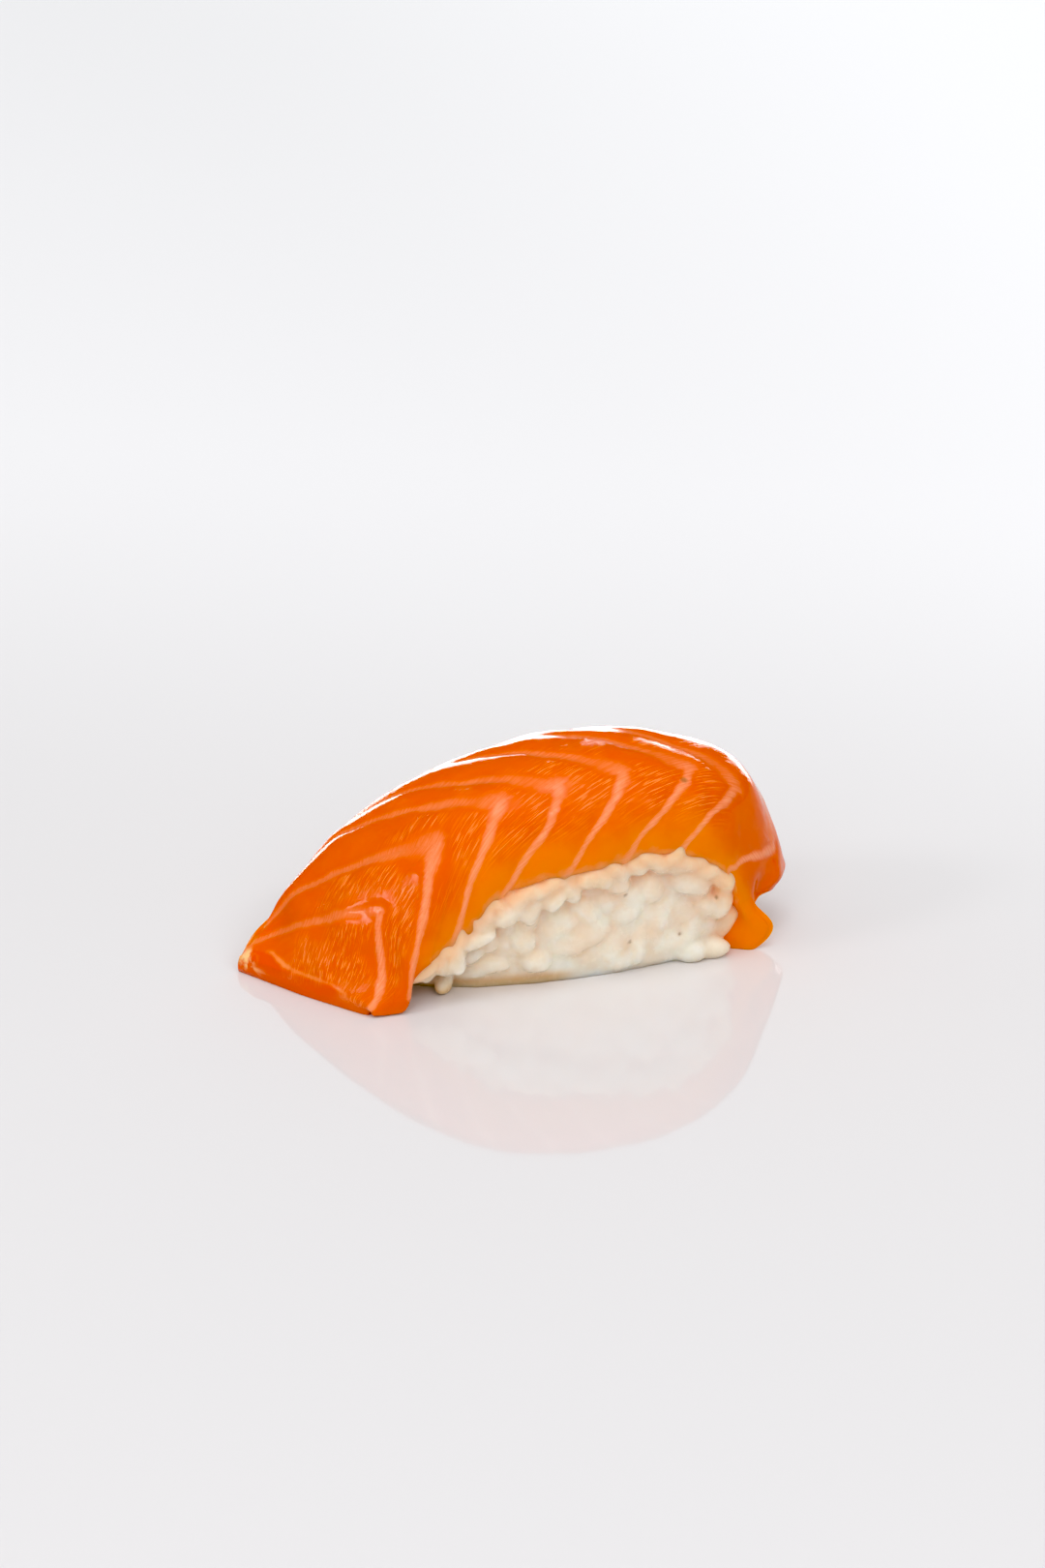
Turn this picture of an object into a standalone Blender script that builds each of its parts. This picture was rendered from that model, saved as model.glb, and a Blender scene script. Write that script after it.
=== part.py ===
"""Salmon nigiri: a bias-cut slice of salmon draped over a hand-pressed bed of rice.

Metres, +Z up. The origin is on the surface that it rests on, under the middle of its box.
+X runs along the nigiri to its blunt end, and -Y is the side that shows the lower half of the rice.
The slice is lofted through stations, each a front edge, a crown and a back edge, and thickened
inwards. The bed of rice is a rounded loaf with a lumpy side, cut back to a small gap from the slice.
"""

import math

import bpy
from mathutils import Vector, noise

# Driving dimensions
HALF_LENGTH = 0.0390
HALF_WIDTH = 0.0140
HEIGHT = 0.0310
SLICE_THICKNESS = 0.0060
GAP = 0.0004  # between rice and slice

# Stations of the slice's outer surface, from the pointed end to the blunt end: front edge, crown
# and back edge, in shares of the half length, half width and height.
STATIONS = [
    ((-0.660, -1.046, 0.01), (-0.855, -0.346, 0.08), (-1.025, 0.394, 0.08)),
    ((-0.545, -1.046, 0.00), (-0.788, -0.286, 0.25), (-0.955, 0.524, 0.14)),
    ((-0.505, -1.006, 0.15), (-0.668, -0.196, 0.475), (-0.825, 0.684, 0.24)),
    ((-0.371, -0.966, 0.26), (-0.495, -0.096, 0.69), (-0.655, 0.864, 0.35)),
    ((-0.185, -0.936, 0.47), (-0.225, -0.006, 0.89), (-0.325, 1.034, 0.50)),
    ((0.148, -0.946, 0.55), (0.123, 0.064, 1.00), (0.049, 1.064, 0.55)),
    ((0.444, -0.916, 0.58), (0.469, 0.099, 0.98), (0.370, 1.044, 0.52)),
    ((0.655, -0.816, 0.46), (0.840, 0.099, 0.82), (0.605, 0.994, 0.34)),
    ((0.760, -0.656, 0.24), (1.019, 0.064, 0.30), (0.755, 0.894, 0.24)),
    ((0.797, -0.626, -0.04), (0.985, 0.064, -0.04), (0.755, 0.894, -0.04)),
]
SECTION_POWER = 2.6  # superellipse power of a section: 2 is round, more is boxier
PLAN_POWERS = (1.0, 1.9)  # shape of the first and last sections in plan: 1 is straight, 2 is bowed

# The slice's cage
CELLS_ALONG = 24
CELLS_ACROSS = 16
END_CROWDING = 0.5  # how much closer the cage's rows are near the ends, from 0 to 1
END_THICKNESS = (0.7, 0.85)  # shares of the thickness left at the two cut ends
THIN_ENDS_FROM = 3 / 8  # share of the way from the middle to an end where the slice starts to thin
EDGE_THICKNESS = 0.45  # share left at the long edges, half way along
THIN_EDGES_FROM = 1 / 3  # share of the way from the crown to an edge where the slice starts to thin
STEP = 0.02  # step along and across for the slope of the outer surface

# The pointed end's cut face turns upright
UPRIGHT_CUT = 0.12  # share of the length that it takes
UPRIGHT_HEIGHT = 0.0020  # height of the outer surface above which it is fully upright

# The blunt end hangs clear of the surface, except for a tab at its front corner that ends in a toe
HANG = 0.0070
HANG_FROM = 0.5  # share of the length where the lift starts
HANG_BELOW = 0.0095  # height under which the end is lifted
TAB_EDGE = (-0.86, -0.66)  # across the slice, where the tab stops and the hanging edge starts
TOE_FROM = 0.75  # share of the length where the toe starts
TOE_HEIGHTS = (0.0068, 0.0026)  # where it starts under the neck and where it is full
TOE_REACH = Vector((0.0052, -0.0002, 0.0))
TOE_FACING = Vector((0.85, -0.53, 0.0))  # where its outer side faces
TOE_FULL_FROM = -0.85  # across the slice, where the toe has its full reach
TOE_BELLY = 0.0032  # height at which the toe reaches furthest
TOE_TUCK = 0.75  # share of its reach that it loses between there and the surface
TOE_SWELLING = 0.05  # share by which the toe is thicker than the end

# The bed of rice
RICE_CENTRE = (0.0023, 0.0009)
RICE_HALF_LENGTH = 0.0270
RICE_HALF_WIDTH = 0.0128
RICE_BELLY_HEIGHT = 0.0070  # the height of its widest level
RICE_TOP = 0.0245
RICE_POWERS = (2.1, 3.4)  # superellipse powers of its pointed and blunt halves
RICE_SEGMENTS = 52
RICE_RINGS = 24
LUMP_SIZE = 0.0042  # across a grain
LUMP_DEPTH = 0.0010

# The solids' facets
SKIN_VOXEL = 0.00075  # voxel of the remesh that makes one clean skin of the slice's cage
SKIN_SHARE = 0.17  # share of that skin's facets that are kept
SINK = 0.0004  # how far the slice's cage runs below the surface before it is trimmed level


def smooth_step(start, end, x):
    """Goes smoothly from 0 where x is at the start to 1 where it is at the end."""
    share = min(1.0, max(0.0, (x - start) / (end - start)))
    return share * share * (3.0 - 2.0 * share)


def along_curve(points, share):
    """The point at a share from 0 to 1 of a Catmull-Rom curve through the points."""
    spans = len(points) - 1
    k = max(0, min(int(share * spans), spans - 1))
    t = share * spans - k
    b, c = points[k], points[k + 1]
    a = points[k - 1] if k > 0 else 2 * b - c
    d = points[k + 2] if k + 2 <= spans else 2 * c - b
    return 0.5 * (2 * b + (c - a) * t + (2 * a - 5 * b + 4 * c - d) * t**2 + (3 * b - a - 3 * c + d) * t**3)


def station_lines():
    """The front edge, the crown and the back edge, as lists of points in metres."""
    size = Vector((HALF_LENGTH, HALF_WIDTH, HEIGHT))
    return [[Vector(p) * size for p in line] for line in zip(*STATIONS)]


def outer_point(lines, u, v):
    """A point of the slice's outer surface: u from 0 to 1 along it, v from -1 in front to 1 behind."""
    front, crown, back = (along_curve(line, u) for line in lines)
    edge = front if v < 0 else back
    angle = abs(v) * math.pi / 2
    sine, cosine = math.sin(angle), math.cos(angle)
    radius = (abs(sine) ** SECTION_POWER + abs(cosine) ** SECTION_POWER) ** (-1 / SECTION_POWER)
    across, down = sine * radius, 1.0 - cosine * radius
    plan = across ** (PLAN_POWERS[0] + (PLAN_POWERS[1] - PLAN_POWERS[0]) * u)
    shares = Vector((plan, across, down))
    point = crown + (edge - crown) * shares
    lift = HANG * smooth_step(*TAB_EDGE, v) * smooth_step(HANG_FROM, 1, u)
    point.z += lift * max(0.0, 1 - point.z / HANG_BELOW)
    reach = toe_share(u, point.z) * (1 - TOE_TUCK * smooth_step(TOE_BELLY, 0, point.z))
    return point + TOE_REACH * reach * smooth_step(-1, TOE_FULL_FROM, v)


def toe_share(u, height):
    """How far a point at a height belongs to the toe, from 0 to 1."""
    return smooth_step(TOE_FROM, 1, u) * smooth_step(*TOE_HEIGHTS, height)


def thickness(u, v, height):
    """The slice's thickness at a point of its outer surface."""
    to_end = smooth_step(THIN_ENDS_FROM, 1, abs(2 * u - 1))
    to_edge = smooth_step(THIN_EDGES_FROM, 1, abs(v))
    end_share = 1 + (END_THICKNESS[u > 0.5] - 1) * to_end
    edge_share = 1 + (EDGE_THICKNESS - 1) * to_edge * (1 - to_end)
    return SLICE_THICKNESS * end_share * edge_share * (1 + TOE_SWELLING * toe_share(u, height))


def slice_point(lines, u, v, depth):
    """A point of the slice: depth is 0 on the outer surface and 1 on the inner one."""
    inner_u = min(max(u, STEP), 1 - STEP)
    inner_v = min(max(v, 3 * STEP - 1), 1 - 3 * STEP)
    along = outer_point(lines, inner_u + STEP, inner_v) - outer_point(lines, inner_u - STEP, inner_v)
    across = outer_point(lines, inner_u, inner_v + STEP) - outer_point(lines, inner_u, inner_v - STEP)
    outward = along.cross(across).normalized()
    surface = outer_point(lines, u, v)
    outward = outward.lerp(TOE_FACING, toe_share(u, surface.z)).normalized()
    point = surface - outward * thickness(u, v, surface.z) * depth
    upright = smooth_step(UPRIGHT_CUT, 0, u) * smooth_step(0, UPRIGHT_HEIGHT, surface.z) * depth
    point += (Vector((surface.x, surface.y, -SINK)) - point) * upright
    point.z = max(-SINK, point.z)
    return point


def new_material(name, colour, roughness):
    material = bpy.data.materials.new(name)
    material.use_nodes = True
    shader = material.node_tree.nodes["Principled BSDF"]
    shader.inputs["Base Color"].default_value = (*colour, 1.0)
    shader.inputs["Roughness"].default_value = roughness
    return material


def make_cage():
    """A flat slab draped over the loft: the slice's control mesh."""
    lines = station_lines()
    bpy.ops.mesh.primitive_grid_add(x_subdivisions=CELLS_ALONG, y_subdivisions=CELLS_ACROSS, size=2)
    slab = bpy.context.object
    solidify = slab.modifiers.new("slab", "SOLIDIFY")
    solidify.thickness = 1.0
    solidify.offset = -1
    cage = bpy.data.meshes.new_from_object(slab.evaluated_get(bpy.context.evaluated_depsgraph_get()))
    bpy.data.objects.remove(slab)
    for vertex in cage.vertices:
        along = (vertex.co.x + 1) / 2
        crowded = (1 - math.cos(math.pi * along)) / 2
        u = along + (crowded - along) * END_CROWDING
        vertex.co = slice_point(lines, u, vertex.co.y, -vertex.co.z)
    return cage


def add_skin(obj, growth):
    """Rounds a cage, grows it along its normals and gives it one clean, even skin."""
    rounding = obj.modifiers.new("rounding", "SUBSURF")
    rounding.levels = rounding.render_levels = 1
    grow = obj.modifiers.new("growth", "DISPLACE")
    grow.strength = growth
    grow.mid_level = 0
    skin = obj.modifiers.new("skin", "REMESH")
    skin.mode = "VOXEL"
    skin.voxel_size = SKIN_VOXEL
    thin_out = obj.modifiers.new("facets", "DECIMATE")
    thin_out.ratio = SKIN_SHARE


def cut_away(obj, cutter):
    """Takes a cutter's volume off an object."""
    cut = obj.modifiers.new(cutter.name, "BOOLEAN")
    cut.operation = "DIFFERENCE"
    cut.solver = "EXACT"
    cut.object = cutter


def make_ground(name):
    """A block whose top is the surface that the nigiri rests on."""
    bpy.ops.mesh.primitive_cube_add(size=1)
    ground = bpy.context.object
    ground.name = name
    ground.scale = (4 * HALF_LENGTH, 6 * HALF_WIDTH, HEIGHT)
    ground.location.z = -HEIGHT / 2
    return ground


def loaf_radius(direction):
    """How far the plain loaf reaches from the middle of its widest level, in a direction."""
    x = abs(direction.x) / RICE_HALF_LENGTH
    y = abs(direction.y) / RICE_HALF_WIDTH
    z = abs(direction.z) / (RICE_TOP - RICE_BELLY_HEIGHT)
    power = RICE_POWERS[0] if direction.x < 0 else RICE_POWERS[1]
    return (x**power + y**power + z**power) ** (-1 / power)


def lump(point):
    """The relief of the grains at a point, from 0 between them to 1 on top of one."""
    nearest = noise.voronoi(point / LUMP_SIZE)[0][0]
    return 1.0 - min(1.0, nearest)


def make_rice():
    """A rounded loaf with grain-sized lumps, flat below."""
    bpy.ops.mesh.primitive_uv_sphere_add(segments=RICE_SEGMENTS, ring_count=RICE_RINGS, radius=1)
    obj = bpy.context.object
    obj.name = "rice_bed"
    middle = Vector((*RICE_CENTRE, RICE_BELLY_HEIGHT))
    for vertex in obj.data.vertices:
        direction = vertex.co.copy()
        direction.x *= RICE_HALF_LENGTH / RICE_HALF_WIDTH
        direction.normalize()
        reach = loaf_radius(direction)
        reach += LUMP_DEPTH * (lump(middle + direction * reach) - 0.5)
        if direction.z < 0:
            reach = min(reach, -RICE_BELLY_HEIGHT / direction.z)
        vertex.co = middle + direction * reach
    return obj


def gather(name, objects):
    """Puts the objects in a collection of their own."""
    collection = bpy.data.collections.new(name)
    bpy.context.scene.collection.children.link(collection)
    for obj in objects:
        for owner in obj.users_collection:
            owner.objects.unlink(obj)
        collection.objects.link(obj)


def main():
    for obj in list(bpy.data.objects):
        bpy.data.objects.remove(obj)
    cage = make_cage()
    salmon = bpy.data.objects.new("salmon_slice", cage)
    clearance = bpy.data.objects.new("clearance_cutter", cage.copy())
    ground = make_ground("ground_cutter")
    rice = make_rice()
    add_skin(salmon, 0.0)
    add_skin(clearance, GAP)
    cut_away(salmon, ground)
    cut_away(rice, clearance)
    gather("salmon_nigiri", (salmon, rice))
    gather("cutters", (clearance, ground))
    for cutter in (clearance, ground):
        cutter.hide_render = True
        cutter.display_type = "WIRE"
    salmon.data.materials.append(new_material("salmon", (0.80, 0.16, 0.01), 0.25))
    rice.data.materials.append(new_material("rice", (0.80, 0.72, 0.58), 0.45))


main()
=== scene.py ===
"""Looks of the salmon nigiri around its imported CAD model.

The slice is the CAD's own loft at a finer grain: its fat stripes, muscle segments and fibres are
displaced in the mesh and coloured through attributes of its vertices. The bed of rice is made of
separate grains over a smaller core, fused where they touch, with a few loose grains on the outside.
Metres, +Z up, in the frame of the CAD model.
"""

import math
import random

import bmesh
import bpy
import numpy as np
from mathutils import Euler, Matrix, Quaternion, Vector, kdtree, noise


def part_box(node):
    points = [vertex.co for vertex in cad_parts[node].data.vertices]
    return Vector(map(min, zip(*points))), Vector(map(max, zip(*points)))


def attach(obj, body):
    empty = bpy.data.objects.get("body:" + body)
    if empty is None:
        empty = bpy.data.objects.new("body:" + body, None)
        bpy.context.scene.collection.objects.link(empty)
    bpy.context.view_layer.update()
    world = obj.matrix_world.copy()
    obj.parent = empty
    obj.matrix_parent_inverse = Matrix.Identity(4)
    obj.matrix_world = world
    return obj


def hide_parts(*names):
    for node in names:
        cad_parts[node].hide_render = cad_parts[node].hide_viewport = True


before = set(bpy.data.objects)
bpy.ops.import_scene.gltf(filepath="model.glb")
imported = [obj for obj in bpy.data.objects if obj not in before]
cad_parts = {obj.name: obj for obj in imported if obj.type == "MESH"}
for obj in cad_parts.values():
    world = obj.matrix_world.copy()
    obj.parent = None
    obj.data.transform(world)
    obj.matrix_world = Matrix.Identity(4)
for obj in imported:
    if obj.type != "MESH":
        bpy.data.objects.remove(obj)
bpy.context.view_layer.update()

MM = 0.001

# Slice -----------------------------------------------------------------------------------------

# The slice's loft, as in the CAD model
HALF_LENGTH = 0.0390
HALF_WIDTH = 0.0140
HEIGHT = 0.0310
SLICE_THICKNESS = 0.0060
# Stations of the outer surface, from the pointed end to the blunt end: front edge, crown and back
# edge, in shares of the half length, half width and height.
STATIONS = [
    ((-0.660, -1.046, 0.01), (-0.855, -0.346, 0.08), (-1.025, 0.394, 0.08)),
    ((-0.545, -1.046, 0.00), (-0.788, -0.286, 0.25), (-0.955, 0.524, 0.14)),
    ((-0.505, -1.006, 0.15), (-0.668, -0.196, 0.475), (-0.825, 0.684, 0.24)),
    ((-0.371, -0.966, 0.26), (-0.495, -0.096, 0.69), (-0.655, 0.864, 0.35)),
    ((-0.185, -0.936, 0.47), (-0.225, -0.006, 0.89), (-0.325, 1.034, 0.50)),
    ((0.148, -0.946, 0.55), (0.123, 0.064, 1.00), (0.049, 1.064, 0.55)),
    ((0.444, -0.916, 0.58), (0.469, 0.099, 0.98), (0.370, 1.044, 0.52)),
    ((0.655, -0.816, 0.46), (0.840, 0.099, 0.82), (0.605, 0.994, 0.34)),
    ((0.760, -0.656, 0.24), (1.019, 0.064, 0.30), (0.755, 0.894, 0.24)),
    ((0.797, -0.626, -0.04), (0.985, 0.064, -0.04), (0.755, 0.894, -0.04)),
]
SECTION_POWER = 2.6  # superellipse power of a section: 2 is round, more is boxier
PLAN_POWERS = (1.0, 1.9)  # shape of the first and last sections in plan: 1 is straight, 2 is bowed
END_THICKNESS = (0.7, 0.85)  # shares of the thickness left at the two cut ends
THIN_ENDS_FROM = 3 / 8  # share of the way from the middle to an end where the slice starts to thin
EDGE_THICKNESS = 0.45  # share left at the long edges, half way along
THIN_EDGES_FROM = 1 / 3  # share of the way from the crown to an edge where the slice starts to thin
STEP = 0.02  # step along and across for the slope of the outer surface
UPRIGHT_CUT = 0.12  # share of the length over which the pointed end's cut face turns upright
UPRIGHT_HEIGHT = 0.0020  # height of the outer surface above which it is fully upright
# The blunt end hangs clear of the surface, except for a tab at its front corner that ends in a toe
HANG = 0.0070
HANG_FROM = 0.5  # share of the length where the lift starts
HANG_BELOW = 0.0095  # height under which the end is lifted
TAB_EDGE = (-0.86, -0.66)  # across the slice, where the tab stops and the hanging edge starts
TOE_FROM = 0.75  # share of the length where the toe starts
TOE_HEIGHTS = (0.0068, 0.0026)  # where it starts under the neck and where it is full
TOE_REACH = Vector((0.0052, -0.0002, 0.0))
TOE_FACING = Vector((0.85, -0.53, 0.0))  # where its outer side faces
TOE_FULL_FROM = -0.85  # across the slice, where the toe has its full reach
TOE_BELLY = 0.0032  # height at which the toe reaches furthest
TOE_TUCK = 0.75  # share of its reach that it loses between there and the surface
TOE_SWELLING = 0.05  # share by which the toe is thicker than the end

# The slice's visible mesh
CELLS_ALONG = 44
CELLS_ACROSS = 25
END_CROWDING = 0.7  # how much closer its rows are near the ends, from 0 to 1
SLICE_ROUNDING = 3  # levels of subdivision
KEPT_FACES = 0.56  # share of the faces left once the hidden inner side is made coarser

# The fat stripes are chevrons. Each has its apex, along and across the slice, then how fast its back
# and front arms fall back towards the pointed end and the power that bends each, how far its front
# arm first runs level, the share by which it is wider at its apex, and the height of the fold under
# its front arm.
STRIPES = [
    (0.212, -0.345, (0.145, 1.00), (0.47, 0.75), 0.01, 0.0, 0.45 * MM),
    (0.365, -0.344, (0.22, 0.85), (0.30, 1.00), 0.02, 1.0, 0.60 * MM),
    (0.468, -0.369, (0.19, 0.85), (0.24, 1.00), 0.08, 0.6, 0.10 * MM),
    (0.535, -0.400, (0.20, 0.85), (0.19, 1.00), 0.15, 0.5, 0.10 * MM),
    (0.618, -0.381, (0.21, 0.85), (0.20, 1.00), 0.12, 0.5, 0.10 * MM),
    (0.708, -0.337, (0.25, 0.85), (0.21, 1.00), 0.14, 0.5, 0.10 * MM),
    (0.780, -0.356, (0.25, 0.85), (0.21, 1.00), 0.20, 0.6, 0.15 * MM),
    (0.862, -0.250, (0.22, 0.85), (0.09, 1.00), 0.20, 0.4, 0.15 * MM),
]
STRIPE_POINTS = 70  # points along each arm
STRIPE_HALF_WIDTHS = (0.60 * MM, 0.95 * MM)  # of front and back arms
APEX_REACH = 0.12  # across the slice, how far an apex is wider
CREST = 0.14 * MM  # height of the front arms, and depth of the back arms
LAST_GROOVES = (0.80, 0.55)  # apexes between which the back arms lose their depth
RIDGE_REACH = 0.7  # how far a crest or groove reaches, in half widths of its stripe
FOLD_REACH = 2.4 * MM
# A run is how far across the slice a place on an arm is from the apex
WANDER = 0.006  # how far along the slice the arms stray from their curves
WANDER_WAVES = 7  # a run
WANDER_FROM_APEX = 8  # by this the run is multiplied to give the share of the wander there, up to 1
THINNING = 0.35  # by which share the arms get thinner away from the apex
THINNING_RUNS = (0.1, 0.6)
PATCHINESS = 0.3  # by which share their width varies
PATCHINESS_WAVES = 11  # a run
APEX_FAINTNESS = 0.3  # how much fainter than full the stripes are at the apex
BACK_FAINTNESS = 0.55  # how much fainter they are along their back arms
BACK_FAINT_RUNS = (-0.05, 0.12)
FRONT_FAINTNESS = 0.1  # how much fainter they are at the end of their front arms
FRONT_FAINT_RUNS = (0.35, 0.7)
FOLD_RUNS = (0.0, 0.15)  # where the folds rise
GROOVE_RUNS = (0.0, 0.2)  # where the back arms turn from crests to grooves

# The rest of the outer surface's relief
SEGMENT_HEIGHT = 0.22 * MM  # of the swollen flesh between the stripes
SEGMENT_REACH = 1.6 * MM  # how far from a stripe it takes to swell
SURFACE_SUNK = 0.25 * MM  # how far all of it is set back, so that the relief stays in the CAD's box
FIBRE_RELIEF = 0.04 * MM
# Swellings at random: height, size and seed
SWELLS = ((0.30 * MM, 11 * MM, 1), (0.15 * MM, 4.5 * MM, 2), (0.03 * MM, 1.6 * MM, 7))
FIBRE_SEED, PATCH_SEED, RIM_SEED = 3, 5, 11  # of the other noises
NOISE_SHIFT = (17.3, 5.1, 9.7)  # how far a seed of 1 shifts a noise
OUTSIDE_DEPTHS = (0.0, 0.6)  # where relief and looks of the outer surface fade out inwards
FOOT_RELIEF = 0.4  # the relief's share where the slice rests on the floor
FULL_RELIEF_ABOVE = 2.5 * MM

# Soft bumps and dents: place along and across, radius and height
BUMPS = [
    (0.168, -0.119, 2.4 * MM, 0.50 * MM),
    (0.052, -0.131, 1.5 * MM, 0.45 * MM),
    (0.115, 0.500, 3.6 * MM, -1.30 * MM),
    (0.540, -0.650, 1.6 * MM, 0.15 * MM),
    (0.720, -0.540, 1.4 * MM, 0.15 * MM),
    (0.800, -0.600, 1.4 * MM, 0.15 * MM),
    (0.930, -0.500, 2.0 * MM, -1.00 * MM),
    (0.890, -0.300, 2.0 * MM, 0.40 * MM),
    (0.660, 0.120, 3.8 * MM, 0.42 * MM),
]

# The line where the outside meets the pointed end's cut face: how far along the slice it is at
# places across it, from the front to the back.
CUT_LINE = ((-0.48, -0.37, -0.25, 0.00, 0.20, 0.36), (-0.010, 0.004, 0.014, 0.016, 0.020, 0.042))
CUT_LINE_HALF_WIDTH = 0.8 * MM
CUT_LINE_ENDS = ((-0.46, -0.36), (0.5, 0.3))  # where it starts and ends across the slice
CUT_FACE_FROM = (-0.2, -1.2)  # where the cut face starts, in half widths of that line
TIP_PATCH = (0.000, 0.600, 2.4 * MM)  # place along and across, and radius of its creamy spot
TIP_PATCH_CORE = 0.4  # the share of that radius that is fully creamy

FLESH_SPECK = (0.700, -0.450)  # place along and across of a small brown speck
FLESH_SPECK_RADIUS = 0.65 * MM
FLESH_SPECK_CORE = 0.3  # the share of the radius that is fully brown

# The front rim: where it is across the slice, the heights above which it hangs freely, and how far it
# hangs down, in millimetres: up and down at random, where the stripes meet it, and in one tongue
RIM_ACROSS = (-0.84, -1.0)
RIM_HEIGHTS = (5 * MM, 9 * MM)
RIM_RAGGEDNESS = 0.7
RIM_RAG_SIZE = 3.2 * MM
RIM_LOWER_AT_STRIPES = 0.7
RIM_STRIPE_REACH = 1.6  # in half widths of the stripe
TONGUE = (0.395, 0.025, 1.8)  # place and width along the slice, and drop

# The muscle fibres
SLICE_ARC = (95.0, 23.0)  # millimetres along the whole slice, and from its crown to an edge
FIBRE_SIZE = (8.0, 0.50)  # length and thickness in millimetres
FIBRE_TURNS = (math.radians(6), math.radians(28))  # before the second stripe and beyond it

# Where the flesh is streaky, with fibre relief and pale strokes that are partly painted highlights:
# on its front, and a little behind its crown. Each pair is where a change starts and ends, along or
# across the slice.
STREAKS_BELOW_CROWN = (0.05, -0.15)  # across
STREAKS_HIGHER = 0.2  # by how much those lie further back before the second stripe
STREAKS_ABOVE_RIM = (-0.80, -0.58)
STREAKS_BEFORE_END = (0.80, 0.72)
BACK_ACROSS = (0.2, 0.5)
BACK_ALONG = (0.25, 0.4)
BACK_STREAKS = 0.3  # how streaky the back is, and how ribbed, as shares of the front
BACK_RIBS = 0.4
STREAK_PATCHES = (-0.35, 0.15)  # values of the noise
STREAK_PATCH_SIZE = 5 * MM
STREAKS_FROM_STRIPE = (1.2, 2.0)  # in half widths of the nearest stripe

# Where the flesh is lighter, as it is thin and glows: its front rim and the toe
RIM_GLOW_ACROSS = (-0.45, -0.95)
RIM_GLOW_ALONG = (0.14, 0.40)
TOE_GLOW_ALONG = (0.90, 0.98)
TOE_GLOW_HEIGHTS = (12 * MM, 6 * MM)
TOE_GLOW_ACROSS = (-0.5, -0.7)
PEACH_SHARE = 0.5  # of the line above the cut face, and of the front rim's painted glow
LARGEST_RATIO = 6  # the stripes' distances are kept up to this, in half widths


def smooth_step(start, end, x):
    """Goes smoothly from 0 where x is at the start to 1 where it is at the end."""
    share = np.clip((x - start) / (end - start), 0.0, 1.0)
    return share * share * (3.0 - 2.0 * share)


def along_curve(points, share):
    """The point at a share from 0 to 1 of a Catmull-Rom curve through the points."""
    spans = len(points) - 1
    k = max(0, min(int(share * spans), spans - 1))
    t = share * spans - k
    b, c = points[k], points[k + 1]
    a = points[k - 1] if k > 0 else 2 * b - c
    d = points[k + 2] if k + 2 <= spans else 2 * c - b
    square, cube = 2 * a - 5 * b + 4 * c - d, 3 * b - a - 3 * c + d
    return 0.5 * (2 * b + (c - a) * t + square * t**2 + cube * t**3)


def station_lines():
    """The front edge, the crown and the back edge, as lists of points in metres."""
    size = Vector((HALF_LENGTH, HALF_WIDTH, HEIGHT))
    return [[Vector(p) * size for p in line] for line in zip(*STATIONS)]


def outer_point(lines, u, v):
    """A point of the slice's outer surface: u from 0 to 1 along it, v from -1 in front to 1 behind."""
    front, crown, back = (along_curve(line, u) for line in lines)
    edge = front if v < 0 else back
    angle = abs(v) * math.pi / 2
    sine, cosine = math.sin(angle), math.cos(angle)
    radius = (abs(sine) ** SECTION_POWER + abs(cosine) ** SECTION_POWER) ** (-1 / SECTION_POWER)
    across, down = sine * radius, 1.0 - cosine * radius
    plan = across ** (PLAN_POWERS[0] + (PLAN_POWERS[1] - PLAN_POWERS[0]) * u)
    shares = Vector((plan, across, down))
    point = crown + (edge - crown) * shares
    lift = HANG * smooth_step(*TAB_EDGE, v) * smooth_step(HANG_FROM, 1, u)
    point.z += lift * max(0.0, 1 - point.z / HANG_BELOW)
    reach = toe_share(u, point.z) * (1 - TOE_TUCK * smooth_step(TOE_BELLY, 0, point.z))
    return point + TOE_REACH * float(reach * smooth_step(-1, TOE_FULL_FROM, v))


def toe_share(u, height):
    """How far a point at a height belongs to the toe, from 0 to 1."""
    return smooth_step(TOE_FROM, 1, u) * smooth_step(*TOE_HEIGHTS, height)


def thickness(u, v, height):
    """The slice's thickness at a point of its outer surface."""
    to_end = smooth_step(THIN_ENDS_FROM, 1, abs(2 * u - 1))
    to_edge = smooth_step(THIN_EDGES_FROM, 1, abs(v))
    end_share = 1 + (END_THICKNESS[u > 0.5] - 1) * to_end
    edge_share = 1 + (EDGE_THICKNESS - 1) * to_edge * (1 - to_end)
    return SLICE_THICKNESS * end_share * edge_share * (1 + TOE_SWELLING * toe_share(u, height))


def slice_point(lines, u, v, depth):
    """A point of the slice: depth is 0 on the outer surface and 1 on the inner one."""
    inner_u = min(max(u, STEP), 1 - STEP)
    inner_v = min(max(v, 3 * STEP - 1), 1 - 3 * STEP)
    along = outer_point(lines, inner_u + STEP, inner_v) - outer_point(lines, inner_u - STEP, inner_v)
    across = outer_point(lines, inner_u, inner_v + STEP) - outer_point(lines, inner_u, inner_v - STEP)
    outward = along.cross(across).normalized()
    surface = outer_point(lines, u, v)
    outward = outward.lerp(TOE_FACING, float(toe_share(u, surface.z))).normalized()
    point = surface - outward * float(thickness(u, v, surface.z)) * depth
    upright = smooth_step(UPRIGHT_CUT, 0, u) * smooth_step(0, UPRIGHT_HEIGHT, surface.z) * depth
    point += (Vector((surface.x, surface.y, 0)) - point) * float(upright)
    point.z = max(0.0, point.z)
    return point


def write_attribute(mesh, name, values):
    """Keeps one number, or one vector, for each vertex of a mesh."""
    values = np.asarray(values, np.float32)
    kind, field = ("FLOAT", "value") if values.ndim == 1 else ("FLOAT_VECTOR", "vector")
    mesh.attributes.new(name, kind, "POINT").data.foreach_set(field, values.ravel())


def read_vectors(collection, field):
    values = np.zeros(len(collection) * 3, np.float32)
    collection.foreach_get(field, values)
    return values.reshape(-1, 3).astype(float)


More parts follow.
